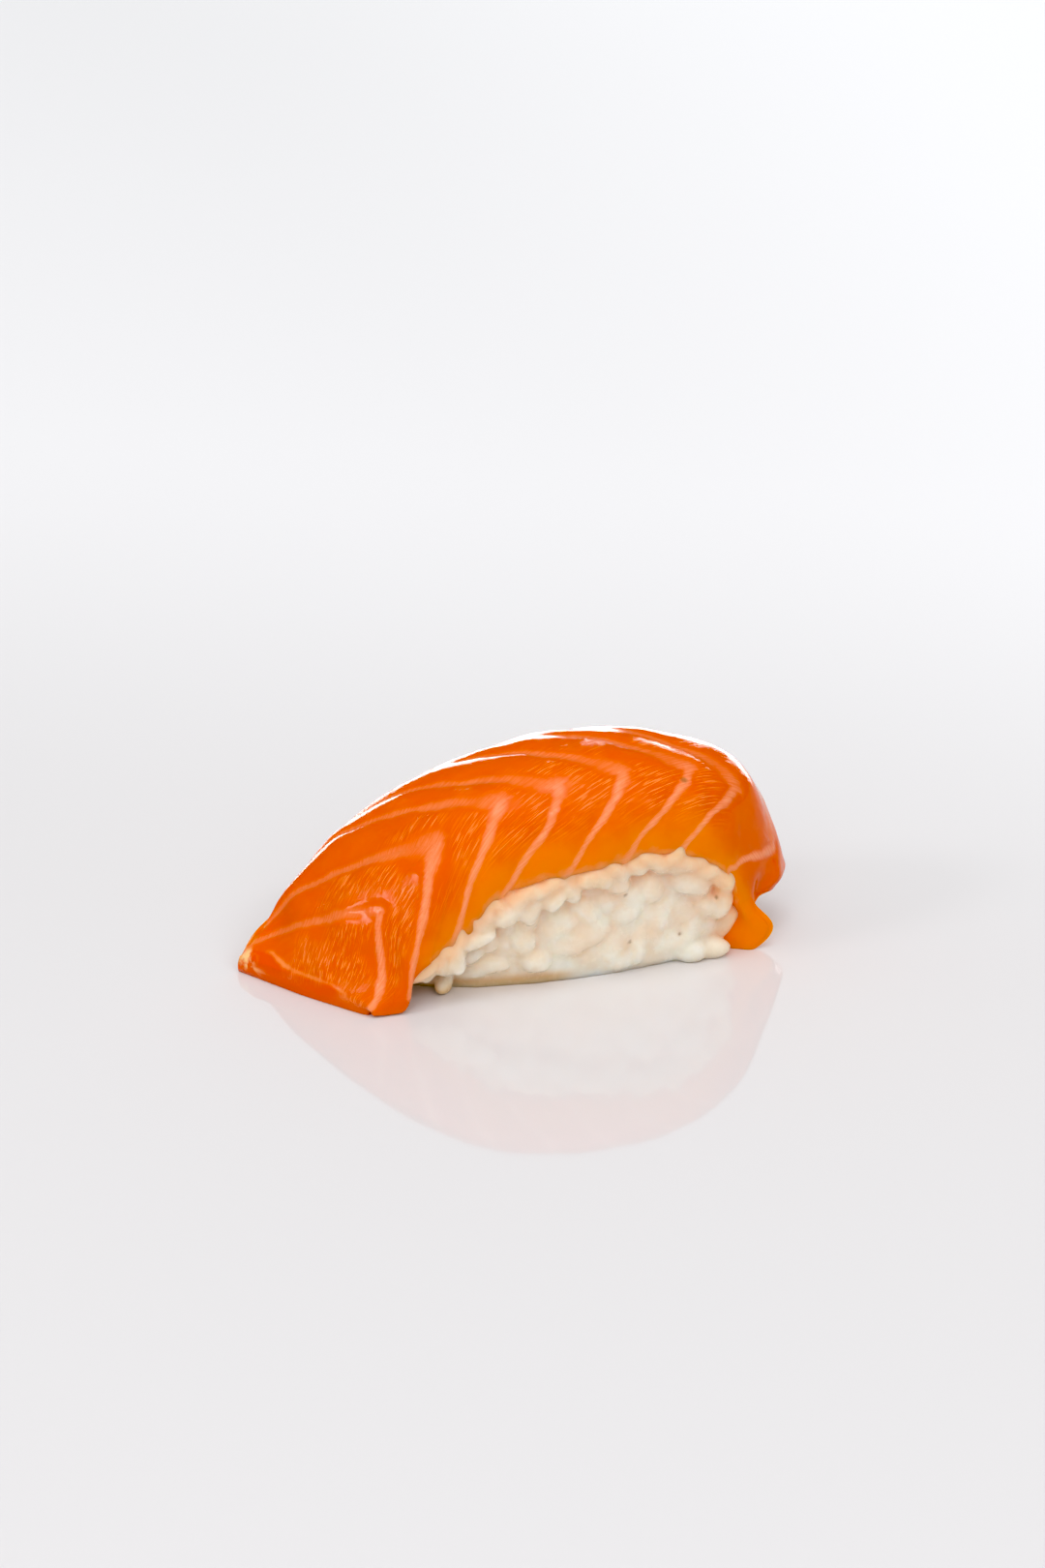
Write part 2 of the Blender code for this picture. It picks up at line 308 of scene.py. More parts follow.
def new_object(name, mesh):
    obj = bpy.data.objects.new(name, mesh)
    bpy.context.scene.collection.objects.link(obj)
    return obj


def evaluated_mesh(obj):
    """A copy of an object's mesh with its modifiers applied."""
    graph = bpy.context.evaluated_depsgraph_get()
    return bpy.data.meshes.new_from_object(obj.evaluated_get(graph))


def slice_sheet(lines):
    """The slice as a rounded mesh, and the place of each vertex along, across and through it."""
    bpy.ops.mesh.primitive_grid_add(x_subdivisions=CELLS_ALONG, y_subdivisions=CELLS_ACROSS, size=2)
    slab = bpy.context.object
    solidify = slab.modifiers.new("slab", "SOLIDIFY")
    solidify.thickness = 1.0
    solidify.offset = -1
    cage = evaluated_mesh(slab)
    bpy.data.objects.remove(slab)
    places = []
    for vertex in cage.vertices:
        along = (vertex.co.x + 1) / 2
        crowded = (1 - math.cos(math.pi * along)) / 2
        place = (along + (crowded - along) * END_CROWDING, vertex.co.y, -vertex.co.z)
        vertex.co = slice_point(lines, *place)
        places.append(place)
    write_attribute(cage, "place", places)
    caged = new_object("cage", cage)
    inner = caged.vertex_groups.new(name="inner")
    inner.add([k for k, place in enumerate(places) if place[2] > 0.5], 1.0, "ADD")
    rounding = caged.modifiers.new("rounding", "SUBSURF")
    rounding.levels = rounding.render_levels = SLICE_ROUNDING
    coarser = caged.modifiers.new("coarser", "DECIMATE")
    coarser.ratio = KEPT_FACES
    coarser.vertex_group = inner.name
    mesh = evaluated_mesh(caged)
    bpy.data.objects.remove(caged)
    place = read_vectors(mesh.attributes["place"].data, "vector")
    mesh.attributes.remove(mesh.attributes["place"])
    return mesh, place


def stripe_arm(stripe, run, side):
    """How far along the slice a stripe's arm is at a run across it: side is -1 in front, 1 behind."""
    apex, _, back, front, level = stripe[:5]
    if side > 0:
        return apex - back[0] * run ** back[1]
    return apex - front[0] * (math.hypot(run, level) ** front[1] - level ** front[1])


def stripe_points(lines):
    """Points along every stripe, each with its half width, strength, fold and crest heights there."""
    points = []
    for number, stripe in enumerate(STRIPES):
        widening, fold = stripe[5:]
        for side in (-1, 1):
            across = 1 - side * stripe[1]
            half_width = STRIPE_HALF_WIDTHS[side > 0]
            for k in range(STRIPE_POINTS):
                run = across * k / (STRIPE_POINTS - 1)
                u = stripe_arm(stripe, run, side)
                # The stripe's number and side give each arm a noise of its own
                wander = WANDER * noise.noise(Vector((run * WANDER_WAVES, number * 3.1, side)))
                u += wander * min(1, run * WANDER_FROM_APEX)
                if u < 0:
                    continue
                v = stripe[1] + side * run
                at_apex = math.exp(-((run / APEX_REACH) ** 2))
                wide = 1 + widening * at_apex
                thin = 1 - THINNING * smooth_step(*THINNING_RUNS, run)
                patch = noise.noise(Vector((run * PATCHINESS_WAVES, number * 5.7, side * 2)))
                patchy = 1 + PATCHINESS * patch
                strength = 1 - APEX_FAINTNESS * at_apex
                strength -= BACK_FAINTNESS * smooth_step(*BACK_FAINT_RUNS, run) * (side > 0)
                strength -= FRONT_FAINTNESS * smooth_step(*FRONT_FAINT_RUNS, run) * (side < 0)
                raised = fold * smooth_step(*FOLD_RUNS, run) * (side < 0)
                grooved = 1 + smooth_step(*LAST_GROOVES, stripe[0])
                crest = CREST * (1 - grooved * smooth_step(*GROOVE_RUNS, run * side))
                place = outer_point(lines, u, v)
                points.append((place, half_width * wide * thin * patchy, strength, raised, crest))
    return points


def nearest_stripe(co, points):
    """The nearest stripe's distance from each place, in half widths and metres, and its own values."""
    tree = kdtree.KDTree(len(points))
    for k, point in enumerate(points):
        tree.insert(point[0], k)
    tree.balance()
    found = np.zeros((len(co), 5))
    for k, place in enumerate(co):
        _, index, distance = tree.find(place)
        found[k] = distance / points[index][1], distance, *points[index][2:]
    return found.T


def noise_at(co, size, seed):
    """Smooth noise from about -1 to 1 at each place, with lumps of a size."""
    shift = Vector([seed * s for s in NOISE_SHIFT])
    return np.array([noise.noise(Vector(place) / size + shift) for place in co])


def fibre_axes(u, v, depth):
    """Places in fibres, along, across and through them, and which lie before the second stripe."""
    a, b = u * SLICE_ARC[0], v * SLICE_ARC[1]
    apex = STRIPES[1][1]
    before = u < [stripe_arm(STRIPES[1], abs(w - apex), 1 if w > apex else -1) for w in v]
    turn = np.where(before, *FIBRE_TURNS)
    along_fibre = a * np.cos(turn) + b * np.sin(turn)
    across_fibre = b * np.cos(turn) - a * np.sin(turn)
    length, width = FIBRE_SIZE
    return np.stack((along_fibre / length, across_fibre / width, depth * 2), axis=1), before


def make_slice():
    """The slice with its muscle segments, folds, stripes and fibres in relief."""
    lines = station_lines()
    mesh, place = slice_sheet(lines)
    u, v, depth = place.T
    co = read_vectors(mesh.vertices, "co")
    normals = read_vectors(mesh.vertex_normals, "vector")
    ratio, distance, strength, fold, crest = nearest_stripe(co, stripe_points(lines))
    outside = 1 - smooth_step(*OUTSIDE_DEPTHS, depth)
    front_rim = smooth_step(*RIM_ACROSS, v) * smooth_step(*RIM_HEIGHTS, co[:, 2])

    fibre_place, before = fibre_axes(u, v, depth)
    fibres = noise_at(fibre_place, 1.0, FIBRE_SEED)
    # Streaky places get fibre relief, and pale strokes that are partly painted highlights
    front = smooth_step(*STREAKS_BELOW_CROWN, v - STREAKS_HIGHER * before)
    front *= smooth_step(*STREAKS_ABOVE_RIM, v)
    front *= smooth_step(*STREAKS_BEFORE_END, u)
    back = smooth_step(*BACK_ACROSS, v) * smooth_step(*BACK_ALONG, u)
    patches = smooth_step(*STREAK_PATCHES, noise_at(co, STREAK_PATCH_SIZE, PATCH_SEED))
    beside_stripes = smooth_step(*STREAKS_FROM_STRIPE, ratio)
    streaky = (front + BACK_STREAKS * back) * (patches * beside_stripes * outside)

    segments = SEGMENT_HEIGHT * (1 - np.exp(-((distance / SEGMENT_REACH) ** 2)))
    ridges = crest * np.exp(-((ratio / RIDGE_REACH) ** 2))
    folds = fold * np.exp(-((distance / FOLD_REACH) ** 2))
    bumps = np.zeros(len(co))
    for bump_u, bump_v, radius, bump_height in BUMPS:
        away = co - np.array(outer_point(lines, bump_u, bump_v))
        bumps += bump_height * np.exp(-np.sum(away**2, axis=1) / radius**2)
    swell = sum(swell_height * noise_at(co, size, seed) for swell_height, size, seed in SWELLS)
    height = segments - SURFACE_SUNK + ridges + folds + bumps + swell + FIBRE_RELIEF * fibres * streaky
    height *= outside
    height *= FOOT_RELIEF + (1 - FOOT_RELIEF) * smooth_step(0, FULL_RELIEF_ABOVE, co[:, 2])
    co += normals * height[:, None]
    hanging = RIM_RAGGEDNESS * noise_at(co * (1, 0, 0), RIM_RAG_SIZE, RIM_SEED)
    hanging -= RIM_LOWER_AT_STRIPES * np.exp(-((ratio / RIM_STRIPE_REACH) ** 2))
    tongue_u, tongue_width, tongue_drop = TONGUE
    hanging -= tongue_drop * np.exp(-(((u - tongue_u) / tongue_width) ** 2))
    co[:, 2] += MM * hanging * front_rim
    co[:, 2] = np.maximum(co[:, 2], 0.0)
    mesh.vertices.foreach_set("co", co.astype(np.float32).ravel())

    rim_glow = smooth_step(*RIM_GLOW_ACROSS, v) * smooth_step(*RIM_GLOW_ALONG, u)
    toe_glow = smooth_step(*TOE_GLOW_ALONG, u) * smooth_step(*TOE_GLOW_HEIGHTS, co[:, 2])
    toe_glow *= smooth_step(*TOE_GLOW_ACROSS, v)
    # The pointed end's cut face is darker, under a pale line along its upper edge
    from_line = (u - np.interp(v, *CUT_LINE)) * SLICE_ARC[0] * MM / CUT_LINE_HALF_WIDTH
    on_line = smooth_step(*CUT_LINE_ENDS[0], v) * smooth_step(*CUT_LINE_ENDS[1], v)
    pale_line_and_rim_glow = PEACH_SHARE * np.exp(-(from_line**2)) * on_line * outside
    # The front rim gets a painted peach glow, as of light through its thin lip, which also lightens the
    # lip's shaded underside
    pale_line_and_rim_glow += PEACH_SHARE * smooth_step(0.0, 1.0, front_rim)
    tip = np.linalg.norm(co - np.array(outer_point(lines, *TIP_PATCH[:2])), axis=1)
    speck_u, speck_v = FLESH_SPECK
    away = np.hypot((u - speck_u) * SLICE_ARC[0], (v - speck_v) * SLICE_ARC[1]) * MM
    speck = smooth_step(FLESH_SPECK_RADIUS, FLESH_SPECK_CORE * FLESH_SPECK_RADIUS, away)
    write_attribute(mesh, "fat_ratio", np.minimum(ratio, LARGEST_RATIO))
    write_attribute(mesh, "fat_strength", strength * outside)
    write_attribute(mesh, "fibre_place", fibre_place)
    write_attribute(mesh, "streaky", streaky)
    write_attribute(mesh, "ribbed", np.maximum(streaky, BACK_RIBS * back * outside))
    write_attribute(mesh, "lightness", np.maximum(rim_glow, toe_glow))
    write_attribute(mesh, "cut", smooth_step(*CUT_FACE_FROM, from_line))
    write_attribute(mesh, "pale_line_and_rim_glow", pale_line_and_rim_glow)
    write_attribute(mesh, "cream", smooth_step(TIP_PATCH[2], TIP_PATCH_CORE * TIP_PATCH[2], tip))
    write_attribute(mesh, "speck", speck * outside)
    mesh.shade_smooth()
    return new_object("salmon_slice_flesh", mesh)


# Rice ------------------------------------------------------------------------------------------

RICE_SEED = 7
BED_ENDS = tuple(corner[0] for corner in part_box("rice_bed"))  # X of the pointed and of the blunt end
GRAIN_HALF = Vector((2.5, 1.42, 1.30)) * MM  # half its length, width and height
GRAIN_SIZES = (0.85, 1.15)  # smallest and largest, on each axis
GRAIN_BLUNTNESS = 2.2  # 2 is an ellipsoid, and more is blunter
GRAIN_FINENESS = 3  # levels of its icosphere
GRAIN_BEND = 0.22  # how far its ends rise or sink at most, in half lengths
GRAIN_UNEVENNESS = 0.10  # by which share its surface varies
GRAIN_LUMPS = 1.3  # in a half length
SWELLING = Vector((0.30, 0.75, 0.75))  # by how much the grains are swollen at the blunt end, as lumps
DEEPER = 1.4 * MM  # how much deeper those grains lie
# Two layers of grains, each with the spacing of its grains and how deep their middles lie
GRAIN_LAYERS = ((2.5 * MM, 1.8 * MM), (3.3 * MM, 1.05 * MM))
GRAIN_DEPTHS = (0.8, 1.2)  # smallest and largest share of that depth
TRIED_PLACES = 9000  # places that each layer's grains are picked from
FACING_DOWN = -0.7  # no grains where the bed's normal points further down than this
# How far the grains are turned at random, in radians: rolled, pitched and headed elsewhere
LYING_TURN = (0.3, 0.25)  # on the outline, with any heading
FOOT_TURN = (0.4, 0.1, 0.6)  # along the heap's foot
STEADIER = 0.7  # by which share they are headed less far where the rice is mashed
RIM_TURN = (1.0, 1.2, 0.5)  # under the slice's front rim
RIM_SWING_ALONG = (0.85, 0.65)  # along the slice, where that pitch starts and where it is full
WELD = 0.01 * MM  # vertices of the bed's outline closer than this are one
CORE_INSETS = (1.1 * MM, 0.9 * MM)  # at the pointed end and, where the rice is mashed, at the blunt end
RICE_VOXEL = 0.28 * MM
SOFTENING_ROUNDS = 10
SOFTENING = (0.10, 0.45)  # share of each round at the pointed and at the blunt end
LOW = 3.6 * MM  # grains below this lie along the heap's foot
GRAIN_FOOT = 0.6  # how high a grain's middle is at least, in shares of its half height
SUNK = 1.0 * MM  # how far the heap's foot goes below the floor before it is levelled
PRESSED_FROM = 13.6 * MM  # how far from its middle line the heap's sides start to be pressed in
PRESSED = 0.7  # the share by which they are pressed in
SLICE_GLOW_REACH = 7.5 * MM  # how far the slice's orange glow is painted on the rice
SLICE_GLOW_CORE = 0.4  # the share of that reach in which it is painted stronger
# Rows of grains under the slice's front rim: how many, from where to where along the slice, and the
# lowest and highest place of their middles below the rim
RIM_GRAINS = [
    (34, 0.27, 0.84, -1.6 * MM, -0.4 * MM),
    (12, 0.36, 0.56, -4.6 * MM, -2.4 * MM),
]
RIM_GRAIN_SHIFTS = ((-0.8, 0.2), (1.0, 1.6))  # their middles' places from the rim, in X and Y, in mm
# Loose grains: their middle in metres, and their heading and pitch in degrees
LOOSE_GRAINS = [
    ((0.0222, -0.0094, 0.0013), -15, 0),
    ((0.0254, -0.0087, 0.0012), -19, 0),
    ((-0.0140, -0.0092, 0.0016), 60, 20),
    ((0.0268, -0.0083, 0.0080), 10, 65),
    ((-0.0060, -0.0121, 0.0120), -10, 20),
    ((0.0282, -0.0068, 0.0042), -20, 60),
    ((-0.0036, -0.0118, 0.0140), 15, 10),
]
LOOSE_MASHED = 0.5  # how mashed the loose grains are, as a share of the heap's there

# Small brown specks on the rice
RICE_SPECKS = [(25.9, -9.6, 9.3), (12.7, -10.8, 4.7), (20.3, -10.1, 4.6), (11.7, -11.6, 12.4)]  # in mm
RICE_SPECK_RADIUS = 0.36 * MM
RICE_SPECK_CORE = 0.4  # the share of the radius that is fully brown
# Shadow is painted along the heap's foot: the heights, and the places in X, where that starts
# and where it is full
FOOT_SHADOW_BELOW = (2.3 * MM, 0.8 * MM)
FOOT_SHADOW_UP_TO = (7.0 * MM, 1.0 * MM)


def either_way(rng, most):
    """A random number from minus the most to the most."""
    return rng.uniform(-most, most)


def mashed_at(x):
    """How mashed the rice is, from 0 at the bed's pointed end to 1 at its blunt end."""
    return smooth_step(*BED_ENDS, x)


def add_grain(bm, place, turn, rng, mashed=0.0):
    """Adds one cooked grain: a blunt, slightly bent and uneven spindle, swollen where it is mashed."""
    made = bmesh.ops.create_icosphere(bm, subdivisions=GRAIN_FINENESS, radius=1)["verts"]
    swollen = [h * (1 + s * mashed) for h, s in zip(GRAIN_HALF, SWELLING)]
    half = Vector([h * rng.uniform(*GRAIN_SIZES) for h in swollen])
    bend = either_way(rng, GRAIN_BEND)
    shift = Vector((rng.random(), rng.random(), rng.random())) * 50  # so that no two are uneven alike
    power = GRAIN_BLUNTNESS
    for vertex in made:
        p = vertex.co
        blunt = 1 / (abs(p.x) ** power + (p.y * p.y + p.z * p.z) ** (power / 2)) ** (1 / power)
        q = p * blunt
        uneven = 1 + GRAIN_UNEVENNESS * noise.noise(q * GRAIN_LUMPS + shift)
        q = Vector((q.x * half.x, q.y * half.y, q.z * half.z)) * uneven
        q.z += bend * half.x * ((q.x / half.x) ** 2 - 0.4)
        vertex.co = place + turn @ q


def spread_points(mesh, spacing, rng):
    """Points spread evenly over a mesh, each with its normal."""
    mesh.calc_loop_triangles()
    triangles = [tuple(mesh.vertices[i].co.copy() for i in t.vertices) + (t.normal.copy(), t.area)
                 for t in mesh.loop_triangles]
    weights = [t[4] for t in triangles]
    kept = []
    for a, b, c, normal, _ in rng.choices(triangles, weights, k=TRIED_PLACES):
        s, t = rng.random(), rng.random()
        if s + t > 1:
            s, t = 1 - s, 1 - t
        point = a + (b - a) * s + (c - a) * t
        if all((point - other).length_squared > spacing**2 for other, _ in kept):
            kept.append((point, normal))
    return kept


def softened(mesh, co, share):
    """A mesh's vertices, drawn again and again towards their neighbours by a share for each."""
    edges = np.zeros(len(mesh.edges) * 2, np.int32)
    mesh.edges.foreach_get("vertices", edges)
    here, there = np.concatenate((edges.reshape(-1, 2), edges.reshape(-1, 2)[:, ::-1])).T
    neighbours = np.bincount(here, minlength=len(co))
    for _ in range(SOFTENING_ROUNDS):
        mean = [np.bincount(here, axis[there], len(co)) / neighbours for axis in co.T]
        co = co + (np.stack(mean, axis=1) - co) * share[:, None]
    return co


def keep_largest_island(mesh):
    """Removes the small closed skins that a mesh holds beside its largest one."""
    bm = bmesh.new()
    bm.from_mesh(mesh)
    for vertex in bm.verts:
        vertex.tag = False
    islands = []
    for first in bm.verts:
        if first.tag:
            continue
        first.tag = True
        island = [first]
        for vertex in island:
            for edge in vertex.link_edges:
                other = edge.other_vert(vertex)
                if not other.tag:
                    other.tag = True
                    island.append(other)
        islands.append(island)
    islands.sort(key=len)
    bmesh.ops.delete(bm, geom=[vertex for island in islands[:-1] for vertex in island], context="VERTS")
    bm.to_mesh(mesh)
    bm.free()


def fused(obj, voxel):
    """One even skin over everything that an object's mesh holds."""
    skin = obj.modifiers.new("skin", "REMESH")
    skin.mode = "VOXEL"
    skin.voxel_size = voxel
    mesh = evaluated_mesh(obj)
    bpy.data.objects.remove(obj)
    keep_largest_island(mesh)
    return mesh


def grain_turn(normal, low, mashed, rng):
    """A turn that lays a grain flat on a surface, in a random direction, or along the heap's foot."""
    if low:
        roll, pitch, heading = FOOT_TURN
        heading = math.atan2(normal.x, -normal.y) + either_way(rng, heading) * (1 - STEADIER * mashed)
        return Euler((either_way(rng, roll), either_way(rng, pitch), heading)).to_quaternion()
    lay = normal.to_track_quat("Z", "Y") @ Quaternion((0, 0, 1), rng.uniform(0, math.pi))
    roll, pitch = LYING_TURN
    return lay @ Euler((either_way(rng, roll), either_way(rng, pitch), 0)).to_quaternion()


def rice_core(outline):
    """The bed of rice, made smaller, so that the grains stand out around it."""
    bm = bmesh.new()
    bm.from_mesh(outline)
    bmesh.ops.remove_doubles(bm, verts=bm.verts, dist=WELD)
    bm.normal_update()
    pointed, blunt = CORE_INSETS
    for vertex in bm.verts:
        inset = vertex.normal * float(pointed + (blunt - pointed) * mashed_at(vertex.co.x))
        inset.z = max(inset.z, 0.0)
        vertex.co -= inset
        if vertex.co.z < SUNK:
            vertex.co.z -= SUNK
    return bm


def add_layers(bm, outline, rng):
    """Adds the layers of grains under the outline of the bed."""
    for spacing, depth in GRAIN_LAYERS:
        for point, normal in spread_points(outline, spacing, rng):
            if normal.z < FACING_DOWN:
                continue
            mashed = float(mashed_at(point.x))
            place = point - normal * (depth * rng.uniform(*GRAIN_DEPTHS) + DEEPER * mashed)
            place.z = max(place.z, GRAIN_HALF.z * GRAIN_FOOT)
            add_grain(bm, place, grain_turn(normal, place.z < LOW, mashed, rng), rng, mashed)


def add_rim_grains(bm, rng):
    """Adds the rows of grains that meet the slice's front rim."""
    lines = station_lines()
    roll, pitch, heading = RIM_TURN
    for count, first, last, lowest, highest in RIM_GRAINS:
        for k in range(count):
            u = first + (last - first) * (k + either_way(rng, 0.5)) / count
            rim = outer_point(lines, u, -1)
            behind = Vector([rng.uniform(*shift) for shift in RIM_GRAIN_SHIFTS] + [0]) * MM
            place = rim + behind + Vector((0, 0, rng.uniform(lowest, highest)))
            place.z = max(place.z, GRAIN_HALF.z * GRAIN_FOOT)
            along = (outer_point(lines, u + STEP, -1) - rim).to_track_quat("X", "Z")
            swing = pitch * float(smooth_step(*RIM_SWING_ALONG, u))
            turn = Euler((either_way(rng, roll), either_way(rng, swing), either_way(rng, heading)))
            add_grain(bm, place, along @ turn.to_quaternion(), rng)


def add_loose_grains(bm, rng):
    """Adds the grains that lie loose at the heap's foot and at its blunt end."""
    for place, heading, pitch in LOOSE_GRAINS:
        turn = Euler((0, math.radians(-pitch), math.radians(heading))).to_quaternion()
        add_grain(bm, Vector(place), turn, rng, LOOSE_MASHED * float(mashed_at(place[0])))


def write_rice_looks(mesh, co):
    """Keeps where the slice's orange glow is painted on the rice, where shadow is painted along its
    foot, and the specks.
    """
    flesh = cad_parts["salmon_slice"].data
    tree = kdtree.KDTree(len(flesh.vertices))
    for k, vertex in enumerate(flesh.vertices):
        tree.insert(vertex.co, k)
    tree.balance()
    away = np.array([tree.find(place)[2] for place in co])
    # The slice's orange glow, painted on the rice near it
    wide, close = (smooth_step(reach, 0.0, away) for reach in (SLICE_GLOW_REACH, SLICE_GLOW_CORE * SLICE_GLOW_REACH))
    write_attribute(mesh, "slice_glow", 0.5 * wide + 0.5 * close)
    # Shadow painted along the heap's foot, low down and towards the pointed end
    foot_shadow = smooth_step(*FOOT_SHADOW_BELOW, co[:, 2]) * smooth_step(*FOOT_SHADOW_UP_TO, co[:, 0])
    write_attribute(mesh, "foot_shadow", foot_shadow)
    away = np.min([np.linalg.norm(co - np.array(speck) * MM, axis=1) for speck in RICE_SPECKS], axis=0)
    speck = smooth_step(RICE_SPECK_RADIUS, RICE_SPECK_CORE * RICE_SPECK_RADIUS, away)
    write_attribute(mesh, "speck", speck)


def make_rice():
    """The heap of grains, fused where they touch, softer and more level towards the blunt end."""
    rng = random.Random(RICE_SEED)
    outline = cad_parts["rice_bed"].data
    bm = rice_core(outline)
    add_layers(bm, outline, rng)
    add_rim_grains(bm, rng)
    add_loose_grains(bm, rng)
    mesh = bpy.data.meshes.new("rice")
    bm.to_mesh(mesh)
    bm.free()
    mesh = fused(new_object("rice", mesh), RICE_VOXEL)
    co = read_vectors(mesh.vertices, "co")
    pointed, blunt = SOFTENING
    co = softened(mesh, co, pointed + (blunt - pointed) * mashed_at(co[:, 0]))
    co[:, 1] -= PRESSED * (co[:, 1] - np.clip(co[:, 1], -PRESSED_FROM, PRESSED_FROM))
    co[:, 2] = np.maximum(co[:, 2], 0.0)
    mesh.vertices.foreach_set("co", co.astype(np.float32).ravel())
    write_rice_looks(mesh, co)
    mesh.shade_smooth()
    return new_object("rice_grains", mesh)


# Materials -------------------------------------------------------------------------------------

class Nodes:
    """Short calls for building a material's nodes."""

    def __init__(self, name):
        self.material = bpy.data.materials.new(name)
        self.material.use_nodes = True
        self.tree = self.material.node_tree
        self.shader = self.tree.nodes["Principled BSDF"]

    def add(self, kind, inputs=(), **settings):
        node = self.tree.nodes.new("ShaderNode" + kind)
        for name, value in settings.items():
            setattr(node, name, value)
        for key, value in dict(inputs).items():
            self.put(node.inputs[key], value)
        return node

    def put(self, socket, value):
        if isinstance(value, bpy.types.NodeSocket):
            self.tree.links.new(value, socket)
        else:
            socket.default_value = value

    def math(self, operation, *values):
        return self.add("Math", dict(enumerate(values)), operation=operation).outputs[0]

    def attribute(self, name):
        return self.add("Attribute", attribute_name=name)

    def noise(self, vector, scale, detail=3.0, roughness=0.5):
        inputs = {"Vector": vector, "Scale": scale, "Detail": detail, "Roughness": roughness}
        return self.add("TexNoise", inputs).outputs["Fac"]

    def ramp(self, value, start, end, low=0.0, high=1.0):
        """Goes smoothly from low to high while a value goes from start to end."""
        inputs = {"Value": value, "From Min": start, "From Max": end, "To Min": low, "To Max": high}
        return self.add("MapRange", inputs, interpolation_type="SMOOTHSTEP").outputs[0]

    def mix(self, share, a, b):
        """Mixes two colours, which are the Mix node's inputs 6 and 7."""
        inputs = {"Factor": share, 6: a, 7: b}
        return self.add("Mix", inputs, data_type="RGBA").outputs[2]

    def set(self, **values):
        """Sets or links the shader's own inputs, with _ for a space in a name."""
        for name, value in values.items():
            self.put(self.shader.inputs[name.replace("_", " ")], value)


def colour(red, green, blue):
    """A colour given as seen on a screen, from 0 to 255, as the shader's own numbers."""
    shares = [c / 255 for c in (red, green, blue)]
    return (*(c / 12.92 if c <= 0.04045 else ((c + 0.055) / 1.055) ** 2.4 for c in shares), 1.0)


DEEP_ORANGE = colour(229, 93, 0)
LIGHT_ORANGE = colour(242, 126, 0)
# Pale fibre strokes: partly the flesh's paler fibres, partly painted highlights
PALE_FIBRE_SHEEN = colour(255, 150, 85)
CUT_RED = colour(228, 82, 8)
PEACH = colour(248, 155, 92)
CREAM = colour(253, 200, 140)
FAT = colour(255, 160, 118)
RICE = colour(250, 239, 223)
RICE_DAMP = colour(244, 223, 200)
# Painted orange glow of the slice on the rice near it
RICE_IN_SLICE_GLOW = colour(255, 190, 146)
# Painted shadow along the heap's foot
RICE_FOOT_SHADOW = colour(222, 168, 112)
SPECK = colour(128, 92, 48)
RICE_GLOW = colour(255, 160, 112)  # light that comes to the rice through the slice
FLOOR = colour(222, 220, 221)
FLOOR_GLOW = colour(244, 250, 255)
FLOOR_GLOW_REACH = 0.25  # metres behind the nigiri
FLOOR_GLOW_SLANT = 0.6  # how much a metre to the right counts against a metre behind
FLOOR_GLOW_BESIDE = (0.05, 0.30)  # metres to the right over which it grows again
FLOOR_GLOW_STRENGTHS = (0.16, 0.14)  # behind and beside the nigiri

# Sizes of the noise that varies the looks, in lumps a metre
BLOTCHES = 160.0
PEACH_EDGES = 450.0
CRUMBS = 700.0
FAT_EDGES = 900.0
PITS = 900.0
WET_PATCHES = 500.0
RICE_TONES = 260.0
RICE_WET_PATCHES = 700.0
RICE_PITS = 1300.0
FIBRE_NOISE = (2.0, 2.0, 0.6)  # scale in lumps a fibre, detail and roughness
# From where to where a noise's values change a look, and what they give
MOST_VALUES = (0.3, 0.7)
BLOTCH_LIGHTNESS = (-0.2, 0.2)
FIBRE_SHEEN_VALUES = (0.50, 0.60)
PEACH_EDGE_VALUES = (0.2, 0.8)
PEACH_EDGE_SHIFTS = (-0.2, 0.2)
CRUMB_VALUES = (0.35, 0.6)
FAT_EDGE_SHIFTS = (-0.3, 0.3)  # in half widths of the stripe
FAT_VALUES = (0.4, 0.6)
RIDGE_VALUES = (0.35, 0.65)
RICE_TONE_VALUES = (0.35, 0.7)
SALMON_ROUGHNESS = (0.04, 0.10)
RICE_ROUGHNESS = (0.16, 0.34)
# From where to where other looks change
PEACH_FROM = (0.05, 0.8)
FAT_FROM = (1.6, 0.2)  # in half widths of the stripe
LEAST_FAT = 0.6  # between the fibres
LEAST_RIDGES = 0.15  # where the flesh isn't ribbed
PEACH_SCATTER = (0.4, 1.0)  # subsurface weight of the flesh, and where it is peach
RICE_GLOW_TINTS = (0.4, 1.0)
RICE_GLOW_STRENGTH = 0.13
# Shares by which one colour covers another
FIBRE_SHEEN_SHARE = 0.7
SPECK_SHARE = 0.6
FOOT_SHADOW_SHARE = 0.8
PIT_SHARE = 0.25  # of the pits against the ridges in the flesh's bump


